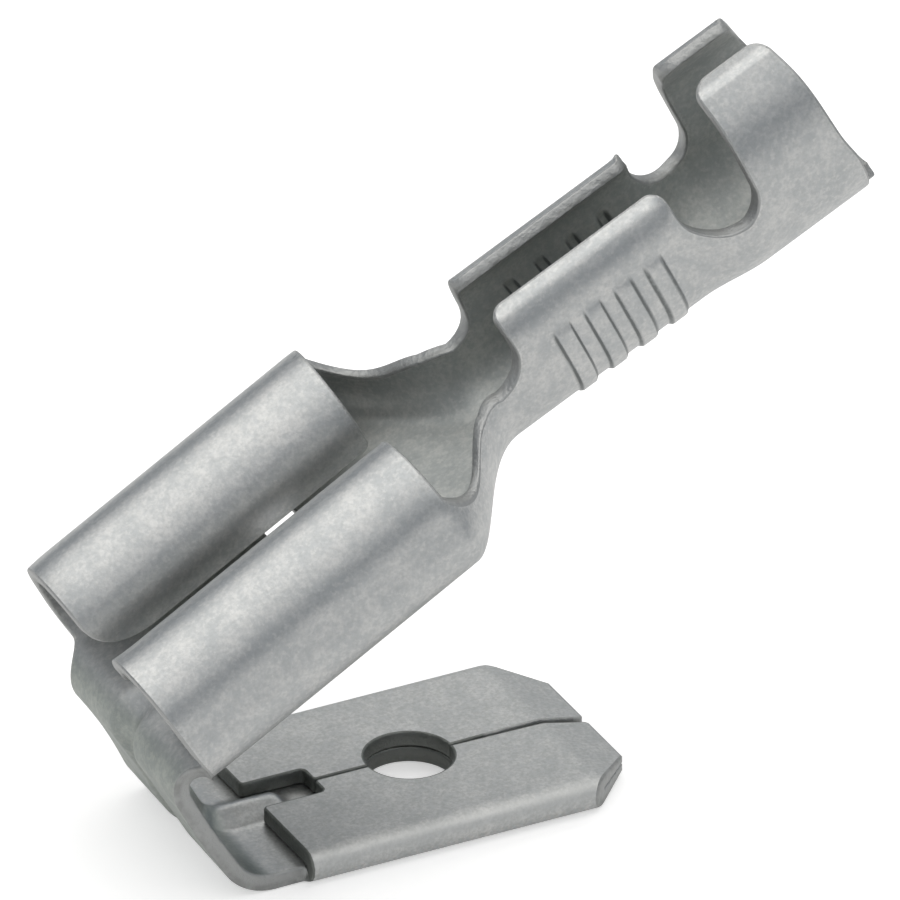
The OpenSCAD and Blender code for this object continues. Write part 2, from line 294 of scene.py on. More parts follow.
@dataclass(frozen=True)
class Tab:
    """Male tab folded from a double width of strip."""

    width: float = 6.3
    reach: float = 4.55
    fold_reach: float = 4.05
    root: float = 0.76
    hole_r: float = 1.04
    tip_corner: float = 1.3
    lead_length: float = 1.15
    lead_drop: float = 0.27
    lead_rise: float = 0.14
    seam: float = 0.04
    seam_mouth: float = 0.2
    relief_half: float = 0.55
    relief_length: float = 1.6
    layer_gap: float = 0.01
    layers_part: float = 0.4
    layers_half: float = 2.7
    corner_from: float = 2.4
    corner_run: float = 1.0
    lead_most: float = 1.02

    def flat_half(self, sheet: Sheet) -> float:
        """Half width of the flat of one layer."""
        return self.width / 2 - sheet.thickness

    def seam_at(self, sheet: Sheet) -> float:
        """Distance across the blank at which the folded edges meet."""
        return 2 * self.flat_half(sheet) + math.pi * sheet.middle

    def side(self, q: Array, t: Array | float, sheet: Sheet) -> tuple[Array, Array]:
        """Folds points of the blank double.

        Args:
            q: Distance from the blank's middle line.
            t: Depth in the strip.
            sheet: The strip.

        Returns:
            Sideways place, and height over the face between the layers.
        """
        half, m = self.flat_half(sheet), sheet.middle
        deep = self.layer_gap + t * (1 - self.layer_gap / sheet.thickness)
        a = np.abs(q)
        turn = np.clip((a - half) / m, 0, np.pi)
        beyond = np.maximum(a - half - np.pi * m, 0)
        v = np.minimum(a, half) + deep * np.sin(turn) - beyond
        return np.sign(q) * v, deep * np.cos(turn)

    def tip_x(self, v: Array) -> Array:
        """Where the cut tip lies at a sideways place."""
        cut = self.reach + self.width / 2 - self.tip_corner
        return np.minimum(self.reach, cut - np.abs(v))


@dataclass(frozen=True)
class Bends:
    """Double bend between the socket mouth and the tab."""

    lift: float = 30.0
    width: float = 5.6
    mouth_r: float = 0.5
    straight: float = 2.43
    tab_r: float = 1.0
    fillet: float = 0.75
    bead_half: float = 0.62
    bead_height: float = 0.31
    bead_socket_end: float = 0.7
    bead_tab_end: float = 1.75
    bead_socket_run: float = 0.95
    bead_tab_run: float = 0.45
    bead_round: float = 0.8
    skew: float = 0.05
    sunk: float = 0.04


@dataclass(frozen=True)
class Socket:
    """Receptacle with its two rolled edges."""

    length: float = 7.85
    section: Section = ROLLED
    cutback: float = 1.5
    cutback_height: float = 1.1
    cutback_lead: float = 0.4
    near_mouth: float = 0.1
    near_mouth_from: float = 3.5
    slot_at: float = 5.23
    slot_length: float = 0.85
    slot_width: float = 5.0


@dataclass(frozen=True)
class Crimps:
    """Neck, wire crimp and insulation crimp, measured from the socket's rear."""

    dip: float = 3.5
    neck_length: float = 2.75
    neck_low: float = 1.45
    neck_high: float = 1.9
    neck_fall: float = 0.95
    neck_rise: float = 1.1
    neck_start: float = 0.8
    neck_corner: float = 0.92
    onset: float = 0.85
    neck: Section = ROLLED
    wire: Section = Section(0.0, 1.45, 0.0, 1.17, 1.45, 53.0, 0.04)
    insulation: Section = Section(0.0, 1.92, 4.0, 1.75, 1.5, 36.0, -0.04, 1.0)
    near_insulation: Section = Section(0.0, 1.92, 0.0, 0.75, 3.0, 44.0, -0.04, 0.65)
    wire_from: float = 3.53
    wire_to: float = 8.33
    widen_from: float = 8.03
    widen_to: float = 9.7
    gap_wall: float = 2.15
    gap_corner: float = 0.75
    rear_from: float = 10.1
    rear_to: float = 12.6
    rear_tip: float = 1.85
    wing_corner: float = 0.35
    rear_corner: float = 0.45
    stub_half: float = 0.7
    stub: float = 0.33
    coin: float = 0.3
    coin_width: float = 0.16
    coin_tip: float = 0.12
    coin_before: float = 0.2
    coin_run: float = 0.1
    far_ahead: float = 0.13
    far_short: float = 0.03
    near_back: float = 0.12
    near_long: float = 0.3
    shift_run: float = 0.6
    far_from: float = 2.3
    near_from: float = 3.0
    near_rise: float = 2.5
    evened: float = 0.55

    def forms(self, x: Array, near: Array | bool = False) -> Array:
        """Blends the sections along the crimps.

        Args:
            x: Distances from the socket's rear edge.
            near: Whether the points lie on the near side.

        Returns:
            Section sizes, one column for each distance.
        """
        narrowed = smooth(np.clip(x / self.neck_length, 0, 1) ** self.onset)
        widened = smooth((x - self.widen_from) / (self.widen_to - self.widen_from))
        neck, wire, far_rear, near_rear = (
            s.values()[:, None] for s in
            (self.neck, self.wire, self.insulation, self.near_insulation))
        rear = np.where(near, near_rear, far_rear)
        return neck + (wire - neck) * narrowed + (rear - wire) * widened

    def ahead(self, x: Array, q: Array) -> Array:
        """Gives how far ahead of the blank the wings lie.

        Args:
            x: Distances from the socket's rear edge.
            q: Distances across the blank.

        Returns:
            The distances.
        """
        stations = [self.wire_from - self.shift_run, self.wire_from, self.wire_to,
                    self.rear_from, self.rear_to]
        far = np.interp(x, stations, [0, self.far_ahead, 0, self.far_ahead,
                                      self.far_short])
        near = np.interp(x, stations, [0, 0, 0, -self.near_back, -self.near_long])
        return (far * smooth(q - self.far_from)
                + near * smooth((-q - self.near_from) / self.near_rise))

    def lean_back(self, x: Array) -> Array:
        """Angle by which a section leans back to meet the socket squarely."""
        return np.radians(self.dip) * (1 - np.clip(x / self.neck_length, 0, 1))


@dataclass(frozen=True)
class Strip:
    """The whole strip: where a point of the blank goes when it is folded.

    The blank is measured by s, along it from the socket mouth towards the
    crimps (negative towards the tab), and q, across it from its middle.
    """

    sheet: Sheet = Sheet()
    tab: Tab = Tab()
    bends: Bends = Bends()
    socket: Socket = Socket()
    crimps: Crimps = Crimps()

    @property
    def folding(self) -> Folding:
        """Folding rule for the sections."""
        return Folding(self.sheet)

    @property
    def mouth_arc(self) -> float:
        """Length of the mouth bend along the middle of the strip."""
        return (self.bends.mouth_r + self.sheet.middle) * math.pi / 2

    @property
    def web_end(self) -> float:
        """Where the straight web meets the bend into the tab."""
        return -self.mouth_arc - self.bends.straight

    @property
    def tab_start(self) -> float:
        """Where the bend into the tab ends."""
        turn = math.pi / 2 - math.radians(self.bends.lift)
        return self.web_end - (self.bends.tab_r + self.sheet.middle) * turn

    @property
    def bend_x(self) -> float:
        """Place of the bend into the tab along the tab."""
        return -self.tab.fold_reach - self.tab.root

    def tab_x(self, s: Array) -> Array:
        """Place along the tab of a distance along the blank."""
        return self.bend_x + self.tab_start - s

    def tab_s(self, x: Array | float) -> Array | float:
        """Distance along the blank of a place along the tab."""
        return self.bend_x + self.tab_start - x

    def lines(self, s: Array) -> tuple[Array, Array]:
        """Follows the underside's middle line through the bends.

        Args:
            s: Distances along the blank.

        Returns:
            Points of the line and directions through the strip, as x and z.
        """
        b, sheet = self.bends, self.sheet
        lift = math.radians(b.lift)
        ahead = np.array([math.cos(lift), math.sin(lift)])
        above = np.array([-math.sin(lift), math.cos(lift)])
        tab_centre = np.array([self.bend_x, sheet.thickness + b.tab_r])
        mouth_centre = (tab_centre - ahead * (b.tab_r - b.mouth_r)
                        + above * b.straight)
        mouth = mouth_centre + above * b.mouth_r
        rear = mouth + ahead * self.socket.length
        drop = math.radians(b.lift - self.crimps.dip)
        ahead_c = np.array([math.cos(drop), math.sin(drop)])
        above_c = np.array([-math.sin(drop), math.cos(drop)])

        def swung(angle: Array) -> Array:
            """Turns from along the socket towards above it by an angle."""
            return np.cos(angle)[:, None] * ahead + np.sin(angle)[:, None] * above

        x = s - self.socket.length
        tilt = self.crimps.lean_back(x)[:, None]
        line_c = rear + x[:, None] * ahead_c
        through_c = above_c * np.cos(tilt) - ahead_c * np.sin(tilt)
        line_s = mouth + s[:, None] * ahead
        turn_1 = swung(np.pi / 2 - s / (b.mouth_r + sheet.middle))
        down = (-self.mouth_arc - s)[:, None]
        turn_2 = swung(np.pi + (self.web_end - s) / (b.tab_r + sheet.middle))
        tab_line = np.stack([self.tab_x(s), np.full_like(s, sheet.thickness)], 1)
        ones = np.ones((len(s), 1))
        cases = [s < self.tab_start, s < self.web_end, s < -self.mouth_arc,
                 s < 0, s < self.socket.length]
        cases = [c[:, None] for c in cases]
        line = np.select(cases, [
            tab_line, tab_centre + b.tab_r * turn_2,
            mouth_centre - b.mouth_r * ahead - down * above,
            mouth_centre + b.mouth_r * turn_1, line_s], line_c)
        through = np.select(cases, [
            ones * np.array([0.0, -1.0]), turn_2, -ones * ahead, turn_1,
            ones * above], through_c)
        return line, through

    def bead(self, s: Array, q: Array) -> Array:
        """Height of the stiffening bead, pressed towards the inside of the bends.

        Args:
            s: Distances along the blank.
            q: Distances across it.

        Returns:
            The heights.
        """
        b = self.bends
        end = self.tab_start - b.bead_tab_end
        along = (smooth((b.bead_socket_end - s) / b.bead_socket_run)
                 * smooth((s - end) / b.bead_tab_run))
        across = np.clip(np.abs(q) / b.bead_half, 0, 1)
        hill = (0.5 + 0.5 * np.cos(np.pi * across)) ** b.bead_round
        return b.bead_height * along * hill

    def fold(self, s: Array, q: Array, t: Array) -> Array:
        """Folds points of the blank.

        Args:
            s: Distances along the blank.
            q: Distances across it.
            t: Depths in the strip.

        Returns:
            Places in the terminal's frame, one row for each point.
        """
        tab, sheet = self.tab, self.sheet
        socket = np.repeat(self.socket.section.values()[:, None], len(s), 1)
        x = s - self.socket.length
        form = np.where(x < ON_LINE, socket,
                        self.crimps.forms(np.maximum(x, 0), q < 0))
        t = self._coined(form, s, q, t)
        span = self.crimps.evened * np.sin(
            np.pi * np.clip(x / self.crimps.neck_length, 0, 1)) ** 0.5
        v, h = self.folding.eased(form, q, t, span)
        tab_v, tab_h = tab.side(q, t, sheet)
        on_tab = s < self.tab_s(-tab.fold_reach) + TINY
        near = smooth((self.tab_x(s) + tab.fold_reach) / tab.layers_part)
        near = np.where(np.abs(q) < tab.layers_half, near, 1)
        flat = s < 0
        v = np.where(on_tab, tab_v, np.where(flat, q, v))
        h = np.where(on_tab, t + (tab_h - t) * near, np.where(flat, t, h))
        h = h - np.where(s < self.socket.slot_at, self.bead(s, q), 0)
        h = h - self._strain(s, q)
        line, through = self.lines(s - self.crimps.ahead(x, q))
        lift = math.radians(self.bends.lift)
        forward = (self.socket.near_mouth * smooth(1 - s) * (s > -0.1)
                   * smooth(-q - self.socket.near_mouth_from))
        place = np.stack([
            line[:, 0] + h * through[:, 0] - forward * math.cos(lift), v,
            line[:, 1] + h * through[:, 1] - forward * math.sin(lift)], 1)
        return self._cut_tip(place, s, q, t)

    def _coined(self, form: Array, s: Array, q: Array, t: Array) -> Array:
        """Thins the tips of the crimp wings from their outer face.

        Args:
            form: Section sizes, one column for each point.
            s: Distances along the blank.
            q: Distances across it.
            t: Depths in the strip.

        Returns:
            The depths after coining.
        """
        c, full = self.crimps, self.sheet.thickness
        tip = self.folding.reach(form) - np.abs(q)
        pressed = c.coin * smooth(1 - (tip - c.coin_tip) / c.coin_width)
        wing = s - self.socket.length - c.wire_from
        on_wing = smooth((wing + c.coin_before) / c.coin_run)
        return full - (full - t) * (1 - pressed * on_wing)

    def _strain(self, s: Array, q: Array) -> Array:
        """Gives how far the web is pulled out of square by the bending.

        Args:
            s: Distances along the blank.
            q: Distances across it.

        Returns:
            Distances towards the inside of the bends.
        """
        b = self.bends
        middle = (self.web_end - self.mouth_arc) / 2
        span = (self.mouth_arc - self.tab_start) / 2
        along = smooth(1 - np.abs(s - middle) / span)
        return along * (b.sunk + b.skew * q)

    def _cut_tip(self, place: Array, s: Array, q: Array, t: Array) -> Array:
        """Squares the tip's cut corners over the folds and thins the lead-in.

        Args:
            place: Folded places.
            s: Distances along the blank.
            q: Distances across it.
            t: Depths in the strip.

        Returns:
            The corrected places.
        """
        tab, sheet = self.tab, self.sheet
        middle_v, _ = tab.side(q, np.full_like(t, sheet.middle), sheet)
        v, _ = tab.side(q, t, sheet)
        shift = tab.tip_x(v) - tab.tip_x(middle_v)
        x, z = place[:, 0], place[:, 2]
        ramp = np.clip((x - tab.corner_from) / tab.corner_run, 0, 1)
        on_tab = s < self.tab_s(0.0)
        x = np.where(on_tab, x + shift * ramp, x)
        k = np.clip((x - tab.reach + tab.lead_length) / tab.lead_length, 0,
                    tab.lead_most)
        low = tab.lead_rise * k
        high = 2 * sheet.thickness - tab.lead_drop * k
        thinned = low + z / (2 * sheet.thickness) * (high - low)
        place[:, 0] = x
        place[:, 2] = np.where(on_tab, thinned, z)
        return place


@dataclass
class Outline:
    """Builds the blank's outline from straight runs, arcs and rounded corners."""

    points: Points = field(default_factory=list)
    arc_step: float = 0.06
    most_used: float = 0.95
    straight: float = 89.0

    def to(self, s: float, q: float) -> "Outline":
        """Runs straight to a point."""
        self.points.append((float(s), float(q)))
        return self

    def corner(self, s: float, q: float, r: float, next_s: float, next_q: float
               ) -> "Outline":
        """Runs to a corner and rounds it towards the next point.

        Args:
            s: The corner's place along the blank.
            q: The corner's place across it.
            r: Radius of the rounding.
            next_s: Place along the blank of the point after the corner.
            next_q: Its place across.

        Returns:
            The outline itself.
        """
        here = np.array([s, q])
        before = np.array(self.points[-1]) - here
        after = np.array([next_s, next_q]) - here
        a, b = before / np.linalg.norm(before), after / np.linalg.norm(after)
        half = math.acos(float(np.clip(a @ b, -1, 1))) / 2
        if half > math.radians(self.straight):
            return self.to(s, q)
        back = min(r / math.tan(half), self.most_used * np.linalg.norm(before),
                   self.most_used * np.linalg.norm(after))
        radius = back * math.tan(half)
        centre = here + (a + b) / np.linalg.norm(a + b) * radius / math.sin(half)
        start, stop = here + a * back - centre, here + b * back - centre
        steps = max(3, int(radius * (math.pi - 2 * half) / self.arc_step))
        for i in range(steps + 1):
            k = i / steps
            mid = start * (1 - k) + stop * k
            self.to(*(centre + mid / np.linalg.norm(mid) * radius))
        return self

    def corners(self, *turns: Triple, to: tuple[float, float]) -> "Outline":
        """Runs through corners in turn, each rounded towards the next.

        Args:
            turns: Place along, place across and radius of each corner.
            to: The point after the last of them.

        Returns:
            The outline itself.
        """
        for (s, q, r), ahead in zip(turns, [*turns[1:], to]):
            self.corner(s, q, r, *ahead[:2])
        return self

    def spread(self, spacing: float) -> Points:
        """Adds points so that no run is longer than a spacing.

        Args:
            spacing: The longest run allowed.

        Returns:
            The closed outline's points.
        """
        dense: Points = []
        for a, b in zip(self.points, self.points[1:] + self.points[:1]):
            length = math.dist(a, b)
            if length < TINY:
                continue
            steps = max(1, math.ceil(length / spacing))
            dense += [(a[0] + (b[0] - a[0]) * i / steps,
                       a[1] + (b[1] - a[1]) * i / steps) for i in range(steps)]
        return dense


@dataclass(frozen=True)
class Blank:
    """The flat strip: its outline, its holes and the points between them."""

    strip: Strip
    spacing: float = 0.1
    clear: float = 0.05
    wall_samples: int = 400
    fold_points: int = 13
    notch_points: int = 37
    cutback_steps: int = 16
    neck_points: int = 12
    neck_first: float = 0.1
    hole_points: int = 96
    corner: float = 0.1
    relief_corner: float = 0.12
    roll_corner: float = 0.25
    slot_corner: float = 0.2
    stub_corners: tuple[float, float] = (0.12, 0.08)
    heel: float = 2.6
    heel_r: float = 1.2
    bead_edge: float = 0.6
    bead_step: float = 0.06
    side: tuple[float, float] = (0.7, 9.6)
    plain_edge: float = 6.5
    step: float = 0.1
    layer: tuple[float, float] = (0.75, 6.2)
    layer_step: float = 0.2
    fold_slack: float = 0.02
    fold_rows: int = 15
    tip_edge: float = 4.5

    def across(self, x: float, z: float) -> float:
        """Finds the distance across the blank of a height on the folded wall.

        Args:
            x: Distance from the socket's rear edge, measured along the crimps.
            z: Height over the crimps' line.

        Returns:
            The distance across, at the middle of the strip.
        """
        crimps, folding = self.strip.crimps, self.strip.folding
        form = crimps.forms(np.array([max(x, 0.0)]))
        far = folding.reach(form)[0]
        q = np.linspace(0, far, self.wall_samples)
        t = np.full(self.wall_samples, self.strip.sheet.middle)
        _, h = folding.place(np.repeat(form, self.wall_samples, 1), q, t)
        top = int(np.argmax(h))
        return float(np.interp(z, h[:top + 1], q[:top + 1]))

    def half(self) -> Points:
        """Draws the outline's half with q > 0, from the tab's tip to the rear.

        Returns:
            Its points.
        """
        line = Outline()
        for draw in (self._tab_side, self._mouth, self._neck, self._wings):
            draw(line)
        return line.points

    def _tab_side(self, line: Outline) -> None:
        """Adds the tab's tip, seam, hole notch, relief and root.

        Args:
            line: The outline so far.
        """
        strip, tab = self.strip, self.strip.tab
        sheet, at = strip.sheet, strip.tab_s
        half, seam = tab.flat_half(sheet), tab.seam_at(sheet)
        square = tab.width / 2 - tab.tip_corner
        line.to(at(tab.reach), 0).to(at(tab.reach), square)
        for q in np.linspace(half, seam - half, self.fold_points):
            v, _ = tab.side(np.array([q]), sheet.middle, sheet)
            line.to(at(tab.tip_x(v)[0]), q)
        line.to(at(tab.reach), seam - square)
        edge = seam - tab.seam / 2
        line.corner(at(tab.reach), seam - tab.seam_mouth / 2, self.corner,
                    at(tab.hole_r), edge)
        start = math.asin(tab.seam / 2 / tab.hole_r)
        for a in np.linspace(start, math.pi - start, self.notch_points):
            line.to(at(tab.hole_r * math.cos(a)), seam - tab.hole_r * math.sin(a))
        end, root_s = at(-tab.fold_reach + tab.relief_length), at(-tab.fold_reach)
        inner, root = seam - tab.relief_half, strip.bends.width / 2
        line.corners((end, edge, self.corner), (end, inner, self.relief_corner),
                     (root_s, inner, self.relief_corner),
                     (root_s, root, self.corner), to=(0, root))

    def _mouth(self, line: Outline) -> None:
        """Adds the web's edge, its fillet and the mouth edge of the roll.

        Args:
            line: The outline so far.
        """
        b, socket = self.strip.bends, self.strip.socket
        root = b.width / 2
        full = float(self.strip.folding.reach(socket.section.values()[:, None])[0])
        line.corner(0, root, b.fillet, 0, full)
        line.to(0, full - socket.cutback_height - socket.cutback_lead)
        for i in range(self.cutback_steps + 1):
            k = i / self.cutback_steps
            line.to(socket.cutback * (1 - math.cos(math.pi / 2 * k)),
                    full - socket.cutback_height * (1 - math.sin(math.pi / 2 * k)))
        line.corner(socket.length, full, self.roll_corner, socket.length, root)

    def _neck(self, line: Outline) -> None:
        """Adds the concave edge from the roll to the wire crimp.

        Args:
            line: The outline so far.
        """
        c, length = self.strip.crimps, self.strip.socket.length
        heights = [(c.neck_fall * k, c.neck_low + c.neck_start * (1 - k) ** 2)
                   for k in np.linspace(0.0, 1, self.neck_points)]
        heights += [(c.neck_fall + c.neck_rise * k,
                     c.neck_low + (c.neck_high - c.neck_low) * smooth(k))
                    for k in np.linspace(self.neck_first, 1, self.neck_points - 2)]
        heights += [(c.wire_from - c.neck_corner * (1 - math.sin(a)),
                     c.neck_high + c.neck_corner * (1 - math.cos(a)))
                    for a in np.linspace(self.neck_first, math.pi / 2,
                                         self.neck_points - 2)]
        for x, z in heights:
            tilt = float(c.lean_back(np.array([x]))[0])
            line.to(length + x + z * math.sin(tilt), self.across(x, z))

    def _wings(self, line: Outline) -> None:
        """Adds both pairs of wings, the gap between them and the stub.

        Args:
            line: The outline so far.
        """
        c, length = self.strip.crimps, self.strip.socket.length
        wire = float(self.strip.folding.reach(c.wire.values()[:, None])[0])
        rear = float(self.strip.folding.reach(c.insulation.values()[:, None])[0])
        s0, s1, s2 = length + c.wire_from, length + c.wire_to, length + c.rear_from
        s3, lean = length + c.rear_to, c.rear_to - c.rear_from - c.rear_tip
        gap_0, gap_1 = (self.across(x, c.gap_wall) for x in (c.wire_to, c.rear_from))
        end, (root_r, end_r) = s3 + c.stub, self.stub_corners
        line.corners((s0, wire, c.wing_corner), (s1, wire, c.wing_corner),
                     (s1, gap_0, c.gap_corner), (s2, gap_1, c.gap_corner),
                     (s2, rear, c.rear_corner), (s3 - lean, rear, c.rear_corner),
                     (s3, self.heel, self.heel_r), (s3, c.stub_half, root_r),
                     (end, c.stub_half, end_r), to=(end, 0)).to(end, 0)

    def loops(self) -> list[Points]:
        """Draws the outline and the two holes that lie inside it.

        Returns:
            The outline first, then the holes, each turning so that the metal
            lies on its left.
        """
        half = self.half()
        whole = Outline([*half, *[(s, -q) for s, q in reversed(half[1:-1])]])
        loops = [list(reversed(whole.spread(self.spacing)))]
        strip = self.strip
        centre, r = strip.tab_s(0.0), strip.tab.hole_r
        turns = np.linspace(0, 2 * math.pi, self.hole_points, endpoint=False)
        loops.append([(centre + r * math.cos(a), -r * math.sin(a)) for a in turns])
        k, r = strip.socket, self.slot_corner
        a, b = k.slot_at - k.slot_length / 2, k.slot_at + k.slot_length / 2
        w = k.slot_width / 2
        slot = Outline([(a, 0.0)]).corners((a, w, r), (b, w, r), (b, -w, r),
                                           (a, -w, r), to=(a, 0))
        loops.append(slot.spread(self.spacing))
        return loops

    @staticmethod
    def inset(loop: Points, by: float) -> Array:
        """Moves a loop into the metal on its left.

        Args:
            loop: Points of the loop.
            by: Distance to move them.

        Returns:
            The moved points.
        """
        p = np.array(loop)
        ahead = np.roll(p, -1, 0) - p
        ahead /= np.linalg.norm(ahead, axis=1)[:, None]
        before = np.roll(ahead, 1, 0)
        left = np.stack([-(ahead + before)[:, 1], (ahead + before)[:, 0]], 1)
        left /= np.linalg.norm(left, axis=1)[:, None]
        square = np.stack([-ahead[:, 1], ahead[:, 0]], 1)
        stretch = np.clip((left * square).sum(1), 0.6, 1)
        return p + left * (by / stretch)[:, None]

    def grid(self) -> Array:
        """Lays out the points between the loops, closer where the strip bends.

        Returns:
            Points of the blank.
        """
        strip, c = self.strip, self.strip.crimps
        length, half = strip.socket.length, strip.tab.flat_half(strip.sheet)
        fold_end = half + math.pi * strip.sheet.middle
        bead = np.arange(-self.bead_edge, self.bead_edge + ON_LINE, self.bead_step)
        side = np.arange(*self.side, self.step)
        wide = np.concatenate([-side[::-1], bead, side])
        plain = np.arange(-self.plain_edge, self.plain_edge + ON_LINE, self.step)
        first, last = self.layer
        layer = np.arange(first, half - self.step, self.layer_step)
        fold = np.linspace(half - self.fold_slack, fold_end + self.fold_slack,
                           self.fold_rows)
        upper = np.arange(fold_end + self.layer_step, last, self.layer_step)
        doubled = np.concatenate([layer, fold, upper])
        across = {
            Region.TAB: np.concatenate([-doubled[::-1], bead, doubled]),
            Region.BENDS: wide, Region.SOCKET: wide, Region.NECK: plain,
            Region.WIRE: plain, Region.REAR: plain,
        }
        along = {
            Region.TAB: (strip.tab_s(self.tip_edge), strip.tab_start - 0.1),
            Region.BENDS: (strip.tab_start - 0.05, 0),
            Region.SOCKET: (0.02, length - 0.05),
            Region.NECK: (length + 0.02, length + c.wire_from + 0.6),
            Region.WIRE: (length + c.wire_from + 0.65, length + c.wire_to - 0.4),
            Region.REAR: (length + c.wire_to - 0.3, length + c.rear_to + 0.2),
        }
        grids = (np.meshgrid(np.arange(*along[r], r.value), across[r]) for r in Region)
        return np.concatenate([np.stack(g, -1).reshape(-1, 2) for g in grids])


def inside(points: Array, loops: list[Array]) -> Array:
    """Tells which points lie in the metal.

    Args:
        points: Points of the blank.
        loops: Its outline and holes.

    Returns:
        One truth for each point.
    """
    hits = np.zeros(len(points), int)
    for loop in loops:
        for a, b in zip(loop, np.roll(loop, -1, 0)):
            spans = (a[1] > points[:, 1]) != (b[1] > points[:, 1])
            if not spans.any():
                continue
            at = a[0] + (points[spans, 1] - a[1]) * (b[0] - a[0]) / (b[1] - a[1])
            hits[spans] += points[spans, 0] < at
    return hits % 2 == 1


@dataclass
class FlatMesh:
    """Triangles over the blank, with the loops they end at."""

    points: Array
    triangles: Array
    rings: list[Array]

    @classmethod
    def cut(cls, blank: Blank, loops: list[Points], by: float) -> "FlatMesh":
        """Meshes the blank inside loops moved in by the edges' rounding.

        Args:
            blank: The blank.
            loops: Its outline and holes.
            by: Distance from the loops to the flat of the faces.

        Returns:
            The mesh.
        """
        rings = [blank.inset(loop, by) for loop in loops]
        runs = np.split(np.arange(sum(map(len, rings))),
                        np.cumsum([len(ring) for ring in rings])[:-1])
        grid = blank.grid()
        grid = grid[inside(grid, rings)]
        grid = grid[distances(grid, np.concatenate(rings)) > blank.clear]
        points = np.concatenate([*rings, grid])
        edges = [pair for run in runs
                 for pair in zip(run.tolist(), np.roll(run, -1).tolist())]
        cut = geometry.delaunay_2d_cdt([Vector(p) for p in points], edges, [], 0,
                                       TINY)
        out = np.array([tuple(p) for p in cut[0]])
        faces = np.array([f for f in cut[2] if len(f) == 3])
        spot = {old: new for new, olds in enumerate(cut[3]) for old in olds}
        ids = [np.array([spot[i] for i in run.tolist()]) for run in runs]
        faces = faces[cls._in_metal(out, faces, ids, rings)]
        turned = cls._doubled_area(out[faces]) < 0
        faces[turned] = faces[turned][:, ::-1]
        return cls(out, faces, ids)

    @staticmethod
    def _doubled_area(corners: Array) -> Array:
        """Gives twice each triangle's area, below zero where it turns back."""
        ab, ac = corners[:, 1] - corners[:, 0], corners[:, 2] - corners[:, 0]
        return ab[:, 0] * ac[:, 1] - ab[:, 1] * ac[:, 0]

    @classmethod
    def _in_metal(cls, points: Array, faces: Array, ids: list[Array],
                  rings: list[Array]) -> Array:
        """Sorts triangles by region, so that slivers go with their neighbours.

        Args:
            points: Points of the triangles.
            faces: The triangles.
            ids: The rings' points by number, which part the regions.
            rings: Places of the same points.

        Returns:
            One truth for each triangle.
        """
        walls = {frozenset(pair) for ring in ids
                 for pair in zip(ring.tolist(), np.roll(ring, -1).tolist())}
        beside: dict[frozenset[int], list[int]] = {}
        open_sides: list[list[frozenset[int]]] = []
        for i, (a, b, c) in enumerate(faces.tolist()):
            sides = [frozenset(pair) for pair in ((a, b), (b, c), (c, a))]
            open_sides.append([side for side in sides if side not in walls])
            for side in open_sides[-1]:
                beside.setdefault(side, []).append(i)
        area = np.abs(cls._doubled_area(points[faces]))
        kept = np.zeros(len(faces), bool)
        left = set(range(len(faces)))
        while left:
            region, ahead = [], [left.pop()]
            while ahead:
                region.append(ahead.pop())
                near = {j for side in open_sides[region[-1]] for j in beside[side]}
                ahead += near & left
                left -= near
            largest = max(region, key=lambda i: area[i])
            in_loops = inside(points[faces[largest]].mean(0)[None], rings)[0]
            kept[region] = in_loops and area[largest] > TINY
        return kept


